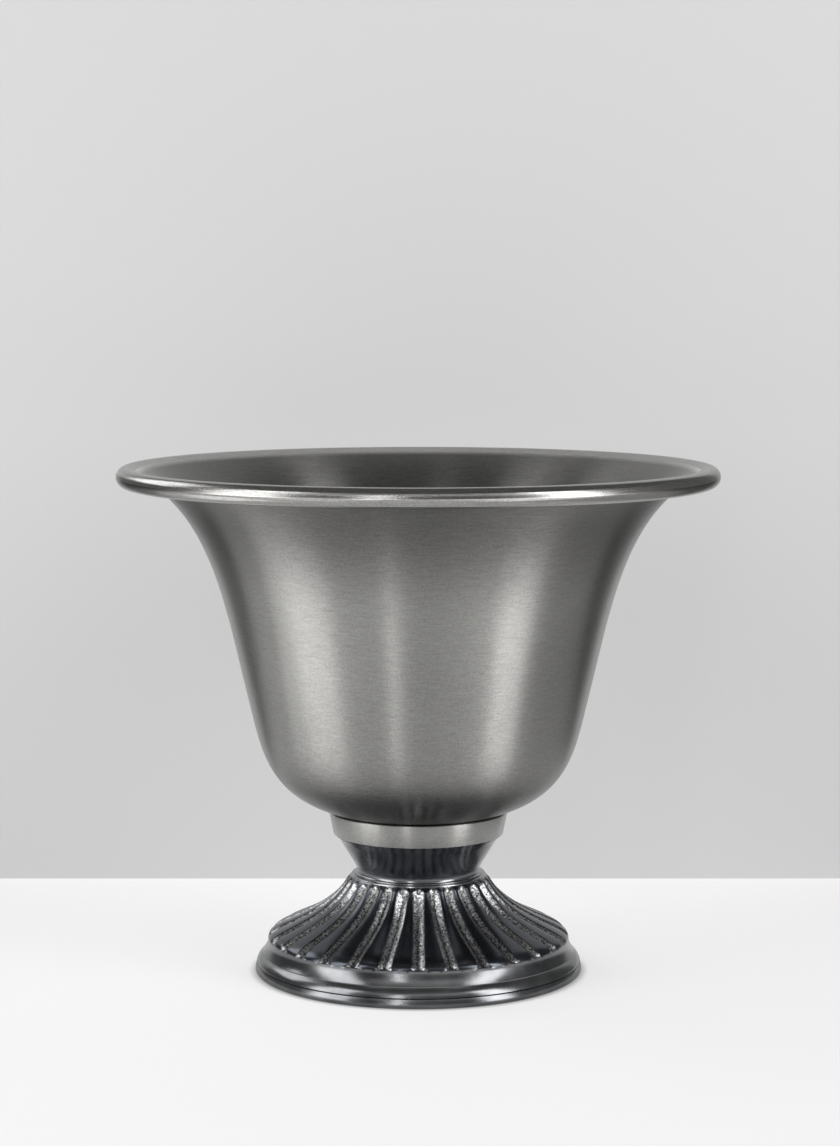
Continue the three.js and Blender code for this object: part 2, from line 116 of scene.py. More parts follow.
def faded(tree, value, start, end, most=1):
    """A share that eases from 0 to most as a value goes from start to end, upwards or downwards."""
    low, high = sorted((start, end))
    return add_node(tree, "ShaderNodeMapRange", {
        "Value": value,
        "From Min": low,
        "From Max": high,
        "To Min": 0 if start < end else most,
        "To Max": most if start < end else 0,
    }, interpolation_type="SMOOTHSTEP").outputs["Result"]


def object_place(tree):
    """Where a point of the surface is, in the object's own frame."""
    return add_node(tree, "ShaderNodeTexCoord").outputs["Object"]


def new_material(name):
    """A material with an empty node tree, and that tree."""
    material = bpy.data.materials.new(name)
    material.use_nodes = True
    material.node_tree.nodes.clear()
    return material, material.node_tree


def backdrop_paint(tree, colour, glow):
    """Matt paint with a faint glow of its own, which keeps the backdrop as even as the photograph's."""
    return add_node(tree, "ShaderNodeBsdfPrincipled", {
        "Base Color": (*colour, 1),
        "Roughness": MATT,
        "Specular IOR Level": MATT_SPECULAR,
        "Emission Color": (1, 1, 1, 1),
        "Emission Strength": glow,
    }).outputs["BSDF"]


def show_one_side(tree, paint):
    """Ends a staging material whose surface is painted in front and clear from behind."""
    clear = add_node(tree, "ShaderNodeBsdfTransparent")
    seen = add_node(tree, "ShaderNodeMixShader", {
        0: add_node(tree, "ShaderNodeNewGeometry").outputs["Backfacing"],
        1: paint,
        2: clear.outputs["BSDF"],
    })
    add_node(tree, "ShaderNodeOutputMaterial", {"Surface": seen.outputs["Shader"]})


bpy.ops.mesh.primitive_plane_add(size=2 * TABLE_HALF_SIZE)
table = bpy.context.object
table.name = "table_top"
material, tree = new_material("white_table")
place = object_place(tree)
spot = add_node(tree, "ShaderNodeSeparateXYZ", {"Vector": place})
# Painted shade, only in what the metal mirrors: behind the wall, far to the right and near the foot.
behind = worked_out(tree, "GREATER_THAN", spot.outputs["Y"], WALL_DISTANCE)
right = worked_out(tree, "GREATER_THAN", spot.outputs["X"], WALL_SIZE[0] / 2)
right = worked_out(tree, "MULTIPLY_ADD", right, MIRRORED_SHADE_RIGHT, MIRRORED_SHADE)
from_urn = vector_of(tree, "LENGTH", place, result="Value")
near = faded(tree, from_urn, NEAR_RADII[1], NEAR_RADII[0], MIRRORED_SHADE_NEAR)
painted_mirror_shade = worked_out(tree, "MAXIMUM", worked_out(tree, "MAXIMUM", behind, right), near)
seen_straight = add_node(tree, "ShaderNodeLightPath").outputs["Is Camera Ray"]
painted_mirror_shade = worked_out(tree, "SUBTRACT", painted_mirror_shade, seen_straight, clamp=True)
# A painted contact shadow round the foot, seen straight on as well.
painted_contact_shadow = faded(tree, from_urn, CONTACT_RADII[1], CONTACT_RADII[0], CONTACT_SHADE)
shaded = add_node(tree, "ShaderNodeMixShader", {
    0: worked_out(tree, "MAXIMUM", painted_mirror_shade, painted_contact_shadow),
    1: backdrop_paint(tree, TABLE_WHITE, TABLE_GLOW),
    2: backdrop_paint(tree, TABLE_SHADE, 0),
})
show_one_side(tree, shaded.outputs["Shader"])
table.data.materials.append(material)

bpy.ops.mesh.primitive_plane_add(
    size=1,
    location=(0, WALL_DISTANCE, WALL_SIZE[1] / 2),
    rotation=(math.pi / 2, 0, 0),
)
wall = bpy.context.object
wall.name = "wall"
wall.scale = (*WALL_SIZE, 1)
wall.visible_shadow = False
material, tree = new_material("grey_wall")
show_one_side(tree, backdrop_paint(tree, WALL_GREY, WALL_GLOW))
wall.data.materials.append(material)

# Lights
# Two tall softboxes stand left and right in front of the urn, a narrow strip near the camera and a soft one
# behind on the left. A dim one hangs overhead, and flat cards that glow upwards lie on the table, out of the
# picture. The studio beyond them is dim, apart from the pale grey that shows past the wall's edges.
STUDIO_GREY = 0.66
STUDIO_DIM = 0.16
STANDING_SOFTBOXES = {
    "softbox_left": dict(azimuth=-64, distance=1.0, base=0.01, width=0.52, height=1.2, radiance=3.35),
    "softbox_right": dict(azimuth=56, distance=1.0, base=0.01, width=0.36, height=1.2, radiance=5.2),
    "softbox_front": dict(azimuth=-14.5, distance=1.1, base=0.01, width=0.07, height=0.9, radiance=8.5),
    "softbox_back_left": dict(azimuth=-120, distance=1.0, base=0.45, width=0.6, height=0.6, radiance=2.6),
}
OVERHEAD_PLACE = Vector((0, -0.95, 0.9))
OVERHEAD_SIZE = (1.6, 0.5)
OVERHEAD_RADIANCE = 0.4
OVERHEAD_TARGET = Vector((0, 0, 0.1))
UPWARDS = Vector((0, 0, 1))
GLOW_CARDS = {
    "card_left": dict(place=Vector((-0.9, -1.1, 0.01)), size=(1.4, 1.6), radiance=0.4),
    "card_right": dict(place=Vector((0.9, -1.1, 0.01)), size=(1.4, 1.6), radiance=1.2),
    "card_near_left": dict(place=Vector((-0.37, -0.1, 0.01)), size=(0.28, 0.2), radiance=1.2),
}


def softbox(name, place, facing, size, radiance):
    """An area light with a given brightness, turned to face a direction."""
    turn = (-facing).to_track_quat("Z", "Y").to_euler()
    bpy.ops.object.light_add(type="AREA", location=place, rotation=turn)
    light = bpy.context.object
    light.name = name
    light.data.shape = "RECTANGLE"
    light.data.size, light.data.size_y = size
    light.data.energy = radiance * math.pi * size[0] * size[1]
    light.visible_camera = False


def between(tree, share, start, end):
    """A number between two, by a share from 0 to 1."""
    return add_node(tree, "ShaderNodeMix", {0: share, 2: start, 3: end}).outputs[0]


for name, box in STANDING_SOFTBOXES.items():
    turn = math.radians(box["azimuth"])
    away = Vector((math.sin(turn), -math.cos(turn), 0))
    place = box["distance"] * away + Vector((0, 0, box["base"] + box["height"] / 2))
    softbox(name, place, -away, (box["width"], box["height"]), box["radiance"])
softbox(
    "softbox_overhead", OVERHEAD_PLACE, OVERHEAD_TARGET - OVERHEAD_PLACE, OVERHEAD_SIZE, OVERHEAD_RADIANCE,
)
for name, card in GLOW_CARDS.items():
    softbox(name, card["place"], UPWARDS, card["size"], card["radiance"])

world = bpy.data.worlds.new("studio")
world.use_nodes = True
world.node_tree.nodes.clear()
tree = world.node_tree
seen_straight = add_node(tree, "ShaderNodeLightPath").outputs["Is Camera Ray"]
shade = between(tree, seen_straight, STUDIO_DIM, STUDIO_GREY)
air = add_node(tree, "ShaderNodeBackground", {"Color": shade})
add_node(tree, "ShaderNodeOutputWorld", {"Surface": air.outputs["Background"]})
bpy.context.scene.world = world

# Bowl
# Spun from one sheet of metal about 1.2 mm thick: a flat floor with the bolt's hole, a rounded belly, a wall
# that leans out, and a flare with its edge rolled outwards into a round rim. Satin brushed, pewter in tone.
SHEET = 0.0012
FLOOR_RADIUS = 0.022
UNDERSIDE_RADIUS = 0.033
UNDERSIDE_SLOPE = math.radians(13.5)
WALL_RADIUS = 0.072
WALL_LEAN = math.radians(13.7)
WALL_HEIGHT_SHARE = 0.334
BELLY_PULL_SHARES = (0.826, 0.465)
FLARE_PULL_SHARES = (0.431, 0.762)
ROLL_RADIUS = 0.0041
LIP_SLOPE = math.radians(25)
ROLL_TURN = math.radians(295)
BOLT_HOLE_RADIUS = 0.0045
SECTORS = 16
BOWL_STEPS = 16
FLOOR_STEPS = 6
CURVE_STEPS = 26
ROLL_STEPS = 30
SAME_PLACE = 1e-6
SMOOTH_UNDER = math.radians(32)
GRAIN_AROUND = 16
GRAIN_PER_METRE = 1500
GRAIN_DETAIL = 2
SPECKLE_PER_METRE = 1400
SPECKLE_DETAIL = 1
SPECKLE_SHARE = 0.5
CLOUDS_PER_METRE = 14
CLOUD_DETAIL = 3
CLOUD_SHARE = 0.25
PEWTER_DARK = (0.265, 0.262, 0.252, 1)
PEWTER_LIGHT = (0.405, 0.401, 0.389, 1)
PEWTER_ROUGHNESS = (0.35, 0.41)
GRAIN_HEIGHT = 0.00001
GRAIN_STRENGTH = 0.3
PEWTER_STRETCH = 0.95
ACROSS_THE_GRAIN = 0.25
NOISE_RANGE = (0.35, 0.65)
UNDERSIDE_RADII = (0.058, 0.069)
RIM_POLISH_FROM = 0.0035
POLISHED_ROUGHNESS = 0.3
BEAD_ROUGHNESS = 0.17
FLARE_SHADE_FROM = 0.16
FLARE_SHADE_TO = 0.2
PAINTED_SHADE_DARK = (0.08, 0.079, 0.077, 1)
PAINTED_SHADE_LIGHT = (0.145, 0.143, 0.14, 1)
FLARE_SHADE_SHARE = 0.75
DEEP_SHADE_FROM = 0.2105
DEEP_SHADE_TO = 0.194


def along(length, angle):
    """A step in the section, from its length and its angle above the outward radius."""
    return Vector((length * math.cos(angle), length * math.sin(angle)))


def curve_points(start, start_pull, end_pull, end, steps):
    """Points of one cubic curve in the section."""
    corners = [Vector((*point, 0)) for point in (start, start_pull, end_pull, end)]
    return [Vector(point[:2]) for point in interpolate_bezier(*corners, steps + 1)]


def arc_points(centre, radius, start, end, steps):
    """Points of an arc in the section, between two angles above the outward radius."""
    return [centre + along(radius, start + (end - start) * i / steps) for i in range(steps + 1)]


def turned(name, section, sectors, steps, closed=True):
    """A turned piece. A ring of points is laid on the section, as (radius, height), and spun through one
    sector, which is then copied round the axis."""
    bpy.ops.object.select_all(action="DESELECT")
    bpy.ops.mesh.primitive_circle_add(vertices=len(section), radius=section[0][0])
    piece = bpy.context.object
    piece.name = name
    piece.data.name = name
    for vertex, (radius, height) in zip(piece.data.vertices, section):
        vertex.co = (0, -radius, height)
    if not closed:
        for edge in piece.data.edges:
            edge.select = False
        for vertex in piece.data.vertices:
            vertex.select = vertex.index in (0, len(section) - 1)
        bpy.ops.object.mode_set(mode="EDIT")
        bpy.ops.mesh.delete(type="EDGE_FACE")
        bpy.ops.object.mode_set(mode="OBJECT")
    bpy.ops.object.mode_set(mode="EDIT")
    bpy.ops.mesh.select_all(action="SELECT")
    round_axis = dict(center=(0, 0, 0), axis=(0, 0, 1))
    sector = 2 * math.pi / sectors
    bpy.ops.mesh.spin(steps=steps, angle=sector, **round_axis)
    bpy.ops.mesh.select_all(action="SELECT")
    bpy.ops.mesh.spin(steps=sectors - 1, angle=2 * math.pi - sector, dupli=True, **round_axis)
    bpy.ops.mesh.select_all(action="SELECT")
    bpy.ops.mesh.remove_doubles(threshold=SAME_PLACE)
    bpy.ops.mesh.normals_make_consistent(inside=False)
    bpy.ops.object.mode_set(mode="OBJECT")
    return piece


def dress(piece, node, material):
    """Finishes a piece that stands for a node of the part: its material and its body."""
    piece.data.materials.clear()
    piece.data.materials.append(material)
    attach(piece, "root")
    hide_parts(node)


bowl_low, bowl_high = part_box("bowl")
rim_radius, rim_top, bowl_base = bowl_high[0], bowl_high[2], bowl_low[2]

roll_centre = Vector((rim_radius - ROLL_RADIUS, rim_top - ROLL_RADIUS))
roll_start = math.pi / 2 + LIP_SLOPE
floor_edge = Vector((FLOOR_RADIUS, bowl_base))
under_mid = Vector(((FLOOR_RADIUS + UNDERSIDE_RADIUS) / 2, bowl_base))
under_edge = Vector((
    UNDERSIDE_RADIUS,
    bowl_base + (UNDERSIDE_RADIUS - FLOOR_RADIUS) / 2 * math.tan(UNDERSIDE_SLOPE),
))
wall_point = Vector((WALL_RADIUS, bowl_base + WALL_HEIGHT_SHARE * (rim_top - bowl_base)))
lip = roll_centre + along(ROLL_RADIUS - SHEET, roll_start)
belly_pulls = (
    BELLY_PULL_SHARES[0] * (WALL_RADIUS - UNDERSIDE_RADIUS),
    BELLY_PULL_SHARES[1] * (wall_point.y - under_edge.y),
)
flare_pulls = (
    FLARE_PULL_SHARES[0] * (lip.y - wall_point.y),
    FLARE_PULL_SHARES[1] * (lip.x - wall_point.x),
)
wall_rise = math.pi / 2 - WALL_LEAN
bowl_section = [
    Vector((BOLT_HOLE_RADIUS, bowl_base)),
    *curve_points(floor_edge, under_mid, under_mid, under_edge, FLOOR_STEPS)[:-1],
    *curve_points(
        under_edge,
        under_edge + along(belly_pulls[0], UNDERSIDE_SLOPE),
        wall_point - along(belly_pulls[1], wall_rise),
        wall_point,
        CURVE_STEPS,
    )[:-1],
    *curve_points(
        wall_point,
        wall_point + along(flare_pulls[0], wall_rise),
        lip - along(flare_pulls[1], LIP_SLOPE),
        lip,
        CURVE_STEPS,
    )[:-1],
    *arc_points(roll_centre, ROLL_RADIUS - SHEET, roll_start, roll_start - ROLL_TURN, ROLL_STEPS),
]
bowl = turned("spun_bowl", bowl_section, SECTORS, BOWL_STEPS, closed=False)
sheet = bowl.modifiers.new("sheet", "SOLIDIFY")
sheet.thickness = SHEET
sheet.offset = 1
sheet.use_even_offset = True
bpy.ops.object.modifier_apply(modifier=sheet.name)
bpy.ops.object.shade_smooth_by_angle(angle=SMOOTH_UNDER)


def noise_of(tree, place, per_metre, detail):
    """Cloudy noise over the surface, with so many clouds to the metre."""
    inputs = {"Vector": place, "Scale": per_metre, "Detail": detail}
    return add_node(tree, "ShaderNodeTexNoise", inputs).outputs["Fac"]


def spun_grain_group():
    """Node group for spun and brushed metal: fine rings round the axis and a fine speckle, each 0 to 1."""
    group = bpy.data.node_groups.new("spun_grain", "ShaderNodeTree")
    group.interface.new_socket("Vector", in_out="INPUT", socket_type="NodeSocketVector")
    group.interface.new_socket("Rings", in_out="OUTPUT", socket_type="NodeSocketFloat")
    group.interface.new_socket("Speckle", in_out="OUTPUT", socket_type="NodeSocketFloat")
    place = group.nodes.new("NodeGroupInput").outputs["Vector"]
    flat = vector_of(group, "MULTIPLY", place, (1, 1, 0))
    around = vector_of(group, "MULTIPLY", vector_of(group, "NORMALIZE", flat), (GRAIN_AROUND,) * 3)
    height = vector_of(group, "MULTIPLY", place, (0, 0, GRAIN_PER_METRE))
    radius = vector_of(group, "LENGTH", flat, result="Value")
    rings = add_node(group, "ShaderNodeTexNoise", {
        "Vector": vector_of(group, "ADD", around, height),
        "W": worked_out(group, "MULTIPLY", radius, GRAIN_PER_METRE),
        "Scale": 1,
        "Detail": GRAIN_DETAIL,
    }, noise_dimensions="4D")
    speckle = noise_of(group, place, SPECKLE_PER_METRE, SPECKLE_DETAIL)
    add_node(group, "NodeGroupOutput", {"Rings": rings.outputs["Fac"], "Speckle": speckle})
    return group


def spun_grain(tree, place):
    """The rings and the speckle of the shared grain, laid over a surface."""
    grain = add_node(
        tree, "ShaderNodeGroup", {"Vector": place}, node_tree=bpy.data.node_groups["spun_grain"],
    )
    return grain.outputs["Rings"], grain.outputs["Speckle"]


def ranged(tree, value, low, high):
    """A value taken from the middle of a noise's range to the range from low to high."""
    return add_node(tree, "ShaderNodeMapRange", {
        "Value": value,
        "From Min": NOISE_RANGE[0],
        "From Max": NOISE_RANGE[1],
        "To Min": low,
        "To Max": high,
    }).outputs["Result"]


def toned(tree, share, start, end):
    """A colour between two, by a share from 0 to 1."""
    return add_node(tree, "ShaderNodeMix", {0: share, 6: start, 7: end}, data_type="RGBA").outputs[2]


def bowl_zones(tree, place, mottled, colour, rough, tangent):
    """The metal's colour, roughness and grain direction, changed for the bowl's zones. The underside, the
    flare and the inside are darker with painted shade, and the rim's bead is polished along its length."""
    normal = add_node(tree, "ShaderNodeNewGeometry").outputs["Normal"]
    flat = vector_of(tree, "MULTIPLY", place, (1, 1, 0))
    radius = vector_of(tree, "LENGTH", flat, result="Value")
    height = add_node(tree, "ShaderNodeSeparateXYZ", {"Vector": place}).outputs["Z"]
    bead_edge = rim_radius - 2 * ROLL_RADIUS
    # Painted shade darkens the underside, the flare and the inside deep down.
    under_polish_and_shade = faded(tree, radius, UNDERSIDE_RADII[1], UNDERSIDE_RADII[0])
    bead = faded(tree, radius, bead_edge - RIM_POLISH_FROM, bead_edge)
    rough = between(tree, under_polish_and_shade, rough, POLISHED_ROUGHNESS)
    rough = between(tree, bead, rough, BEAD_ROUGHNESS)
    flare_shade = faded(tree, height, FLARE_SHADE_FROM, FLARE_SHADE_TO)
    flare_shade = worked_out(tree, "MULTIPLY", worked_out(tree, "SUBTRACT", flare_shade, bead, clamp=True), FLARE_SHADE_SHARE)
    inside = worked_out(tree, "LESS_THAN", vector_of(tree, "DOT_PRODUCT", flat, normal, result="Value"), 0)
    deep_shade = worked_out(tree, "MULTIPLY", faded(tree, height, DEEP_SHADE_FROM, DEEP_SHADE_TO), inside)
    painted_shade = worked_out(tree, "MAXIMUM", worked_out(tree, "MAXIMUM", flare_shade, under_polish_and_shade), deep_shade)
    colour = toned(tree, painted_shade, colour, toned(tree, mottled, PAINTED_SHADE_DARK, PAINTED_SHADE_LIGHT))
    tangent = add_node(tree, "ShaderNodeMix", {
        0: worked_out(tree, "GREATER_THAN", radius, bead_edge),
        4: tangent,
        5: vector_of(tree, "CROSS_PRODUCT", normal, tangent),
    }, data_type="VECTOR").outputs[1]
    return colour, rough, tangent


def brushed_metal(name, dark, light, roughness, stretch, cloud_share, zones=None):
    """Satin metal with a grain that runs round the axis. Its highlights draw out across the grain. A piece
    with zones gives the function that changes them."""
    material, tree = new_material(name)
    place = object_place(tree)
    rings, speckle = spun_grain(tree, place)
    fine = between(tree, SPECKLE_SHARE, rings, speckle)
    clouds = noise_of(tree, place, CLOUDS_PER_METRE, CLOUD_DETAIL)
    mottled = ranged(tree, between(tree, cloud_share, fine, clouds), 0, 1)
    colour = toned(tree, mottled, dark, light)
    rough = ranged(tree, rings, *roughness)
    tangent = add_node(tree, "ShaderNodeTangent", direction_type="RADIAL", axis="Z").outputs["Tangent"]
    if zones:
        colour, rough, tangent = zones(tree, place, mottled, colour, rough, tangent)
    bump = add_node(tree, "ShaderNodeBump", {
        "Height": fine, "Distance": GRAIN_HEIGHT, "Strength": GRAIN_STRENGTH,
    })
    metal = add_node(tree, "ShaderNodeBsdfPrincipled", {
        "Base Color": colour,
        "Metallic": 1,
        "Roughness": rough,
        "Anisotropic": stretch,
        "Anisotropic Rotation": ACROSS_THE_GRAIN,
        "Tangent": tangent,
        "Normal": bump.outputs["Normal"],
    })
    add_node(tree, "ShaderNodeOutputMaterial", {"Surface": metal.outputs["BSDF"]})
    return material


spun_grain_group()
bowl_metal = brushed_metal(
    "brushed_pewter_bowl",
    PEWTER_DARK,
    PEWTER_LIGHT,
    PEWTER_ROUGHNESS,
    PEWTER_STRETCH,
    CLOUD_SHARE,
    zones=bowl_zones,
)
dress(bowl, "bowl", bowl_metal)

# Collar
# Turned ring between bowl and neck, brushed round and left bright, with crisp corners. Its web carries the
# bowl's floor, and a recess below takes the neck's flange.
COLLAR_BOTTOM_RADIUS = 0.0362
COLLAR_EDGE = 0.0004
COLLAR_WEB = 0.003
COLLAR_RECESS_RADIUS = 0.03
SEAT_GAP = 0.0003
COLLAR_STEPS = 12
CORNER = 0.00012
CORNER_SEGMENTS = 2
SHARP_OVER = math.radians(28)
COLLAR_DARK = (0.33, 0.327, 0.316, 1)
COLLAR_LIGHT = (0.43, 0.426, 0.412, 1)
COLLAR_ROUGHNESS = (0.32, 0.38)
COLLAR_STRETCH = 0.92


def ease_corners(piece, width):
    """A fine round on the turned corners, as a maker breaks a sharp edge. Thin or shallow corners stay."""
    bpy.ops.object.mode_set(mode="EDIT")
    bpy.ops.mesh.select_all(action="DESELECT")
    bpy.ops.mesh.edges_select_sharp(sharpness=SHARP_OVER)
    bpy.ops.mesh.bevel(offset=width, segments=CORNER_SEGMENTS, affect="EDGES", clamp_overlap=True)
    bpy.ops.object.mode_set(mode="OBJECT")


collar_low, collar_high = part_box("collar")
collar_radius, collar_top, collar_base = collar_high[0], collar_high[2], collar_low[2]
web_bottom = bowl_base - COLLAR_WEB
dish = [
    Vector((FLOOR_RADIUS, bowl_base - SEAT_GAP)),
    *[
        point - Vector((0, SEAT_GAP))
        for point in bowl_section
        if FLOOR_RADIUS < point.x < collar_radius - 2 * COLLAR_EDGE and point.y < collar_top
    ],
]
collar = turned("turned_collar", [
    Vector((BOLT_HOLE_RADIUS, web_bottom)),
    Vector((COLLAR_RECESS_RADIUS, web_bottom)),
    Vector((COLLAR_RECESS_RADIUS, collar_base)),
    Vector((COLLAR_BOTTOM_RADIUS, collar_base)),
    Vector((collar_radius, collar_top - COLLAR_EDGE)),
    Vector((collar_radius - COLLAR_EDGE, collar_top)),
    *reversed(dish),
    Vector((FLOOR_RADIUS - SEAT_GAP, bowl_base)),
    Vector((BOLT_HOLE_RADIUS, bowl_base)),
], SECTORS, COLLAR_STEPS)
ease_corners(collar, CORNER)
bpy.ops.object.shade_smooth_by_angle(angle=SMOOTH_UNDER)
collar_metal = brushed_metal(
    "brushed_pewter_collar",
    COLLAR_DARK,
    COLLAR_LIGHT,
    COLLAR_ROUGHNESS,
    COLLAR_STRETCH,
    cloud_share=0,
)
dress(collar, "collar", collar_metal)

# Neck
# Turned waisted tube, plated nearly black and buffed. A bevelled flange spreads under the collar, and a
# small flared lip sits on the foot. Spigots at both ends centre it.
NECK_BORE_RADIUS = 0.0205
NECK_MOUTH_RADIUS = 0.026
NECK_LIP_RADIUS = 0.0273
NECK_LIP_EDGE = 0.0004
WAIST_RADIUS = 0.0262
WAIST_HEIGHT = 0.0017
WAIST_PULL_SHARE = 0.15
FLANGE_BEVEL_RADIUS = 0.0336
FLANGE_BEVEL_HEIGHT = 0.0021
BEVEL_PULL_SHARE = 0.65
FLANGE_SPIGOT_RADIUS = 0.0297
FOOT_SPIGOT_RADIUS = 0.0236
LIP_STEPS = 8
CONE_STEPS = 16
NECK_STEPS = 12
NECK_DARK = (0.09, 0.094, 0.105, 1)
NECK_LIGHT = (0.16, 0.165, 0.176, 1)
WORN_EDGE = (0.3, 0.305, 0.31, 1)
WORN_REACH = 0.0009
SMEARS_PER_METRE = 60
SMEAR_DETAIL = 4
TURNED_ROUGHNESS = (0.18, 0.26)
TURNING_HEIGHT = 0.000004
ONE_PULL_SHARE = 2 / 3


def gunmetal(name, dark, light, worn_from, worn_to, zones=None):
    """Dark glossy plating with fine turning marks, worn bright from one height to another. A piece with
    zones gives the function that changes them."""
    material, tree = new_material(name)
    place = object_place(tree)
    rings, _ = spun_grain(tree, place)
    smears = noise_of(tree, place, SMEARS_PER_METRE, SMEAR_DETAIL)
    height = add_node(tree, "ShaderNodeSeparateXYZ", {"Vector": place}).outputs["Z"]
    colour = toned(tree, ranged(tree, smears, 0, 1), dark, light)
    colour = toned(tree, faded(tree, height, worn_from, worn_to), colour, WORN_EDGE)
    rough = ranged(tree, smears, *TURNED_ROUGHNESS)
    normal = add_node(tree, "ShaderNodeBump", {
        "Height": rings, "Distance": TURNING_HEIGHT, "Strength": GRAIN_STRENGTH,
    }).outputs["Normal"]
    if zones:
        colour, rough, normal = zones(tree, place, smears, colour, rough, normal)
    metal = add_node(tree, "ShaderNodeBsdfPrincipled", {
        "Base Color": colour,
        "Metallic": 1,
        "Roughness": rough,
        "Normal": normal,
    })
    add_node(tree, "ShaderNodeOutputMaterial", {"Surface": metal.outputs["BSDF"]})
    return material


def quadratic(start, pull, end, steps):
    """Points of a curve with a single pull point."""
    return curve_points(start, start.lerp(pull, ONE_PULL_SHARE), end.lerp(pull, ONE_PULL_SHARE), end, steps)


foot_low, foot_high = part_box("foot")
foot_radius, foot_top, foot_base = foot_high[0], foot_high[2], foot_low[2]
neck_low, neck_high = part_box("neck")
waist = Vector((WAIST_RADIUS, foot_top + WAIST_HEIGHT))
bevel = Vector((FLANGE_BEVEL_RADIUS, collar_base - FLANGE_BEVEL_HEIGHT))
lip_edge = Vector((NECK_LIP_RADIUS, foot_top + NECK_LIP_EDGE))
lip_pull = Vector((WAIST_RADIUS, lip_edge.y))
cone = bevel - waist
neck = turned("waisted_neck", [
    Vector((NECK_BORE_RADIUS, neck_low[2])),
    Vector((FOOT_SPIGOT_RADIUS, neck_low[2])),
    Vector((FOOT_SPIGOT_RADIUS, foot_top)),
    Vector((NECK_LIP_RADIUS, foot_top)),
    *quadratic(lip_edge, lip_pull, waist, LIP_STEPS)[:-1],
    *curve_points(
        waist,
        waist + Vector((0, WAIST_PULL_SHARE * cone.y)),
        bevel - BEVEL_PULL_SHARE * cone,
        bevel,
        CONE_STEPS,
    ),
    Vector((COLLAR_BOTTOM_RADIUS, collar_base)),
    Vector((FLANGE_SPIGOT_RADIUS, collar_base)),
    Vector((FLANGE_SPIGOT_RADIUS, neck_high[2])),
    Vector((NECK_MOUTH_RADIUS, neck_high[2])),
    Vector((NECK_MOUTH_RADIUS, bevel.y)),
    Vector((NECK_BORE_RADIUS, waist.y)),
], SECTORS, NECK_STEPS)
ease_corners(neck, CORNER)
bpy.ops.object.shade_smooth_by_angle(angle=SMOOTH_UNDER)
neck_metal = gunmetal("dark_pewter_neck", NECK_DARK, NECK_LIGHT, waist.y + WORN_REACH, foot_top)
dress(neck, "neck", neck_metal)

# Foot
# Hollow casting, plated dark: a turned base band, fine groove, quarter round and cove, then a flared
# shoulder with 29 flutes. The lands are buffed smooth, and the flutes keep the rough skin of the mould.
BASE_BAND_HEIGHT = 0.0039
BASE_RING_INSET = 0.0024
BASE_ROUND = 0.0011
BASE_LEAN = 0.0007
GROOVE = 0.0006
QUARTER_ROUND_WIDTH = 0.0027
QUARTER_ROUND_HEIGHT = 0.0036
QUARTER_PULL = (0.00045, 0.002)
ARRIS = 0.0004
COVE_TOP_RADIUS = 0.0643
COVE_HEIGHT = 0.0058
SHOULDER_RISE = 0.0059
CONE_PULL_RADIUS = 0.0405
CONE_PULL_HEIGHT = 0.0222
FLUTE_TOP_RADIUS = 0.0303
FLUTE_TOP_DROP = 0.0022
ARCH_REACH = 0.7
LEDGE_RADIUS = 0.028
LEDGE_EDGE = 0.0007
FOOT_WALL = 0.0044
BASE_RING_WIDTH = 0.0052
HUB_WEB = 0.006
HUB_BOSS_RADIUS = 0.012
HUB_BOSS_HEIGHT = 0.004
FLUTE_COUNT = 29
FLUTE_COLUMNS = 24
GROOVE_COLUMNS = 8
FLUTE_TOP_WIDTH = 0.0049
FLUTE_BOTTOM_WIDTH = 0.0056
FLUTE_TIP_NARROWING = 12
FLUTE_DEPTH = 0.0016
VALLEY_POWER = 1.2
TONGUE_LENGTH = 0.0022
TONGUE_CORNER = 0.0015
FLOOR_RUN = 0.0026
LAND_CROWN = 0.00012
CAST_LUMP = 0.0013
CAST_LUMP_HEIGHT = 0.00013
CAST_LUMP_FADE = 4
TONGUE_ROWS = 9
SHOULDER_ROWS = 60
ARCH_ROWS = 12
CURVE_SAMPLES = 600
HOLLOW_STRIDE = 50
EDGE_STEPS = 8
LEDGE_STEPS = 5
FOOT_SMOOTH_UNDER = math.radians(24)
GUNMETAL = (0.14, 0.143, 0.15, 1)
GUNMETAL_WORN = (0.23, 0.234, 0.24, 1)
LAND_NAVY = (0.07, 0.076, 0.088, 1)
LAND_ROUGHNESS = (0.2, 0.28)
CAST_DARK = (0.05, 0.05, 0.054, 1)
CAST_SILVER = (0.9, 0.9, 0.89, 1)
CAST_ROUGHNESS = (0.27, 0.37)
CAST_GRAIN_HEIGHT = 0.00014
CAST_GRAIN_PER_METRE = 1300
CAST_GRAIN_DETAIL = 3
CAST_FADE = 3
VALLEY_WORN = 0.35
VALLEY_REACH = 0.4
SILVER_AT_MOUTH = 0.55


def inside_of(points, distance):
    """An outline moved square to itself, to the left of its run."""
    moved = []
    for before, point, after in zip([points[0], *points], points, [*points[1:], points[-1]]):
        run = (after - before).normalized()
        moved.append(point + distance * Vector((-run.y, run.x)))
    return moved


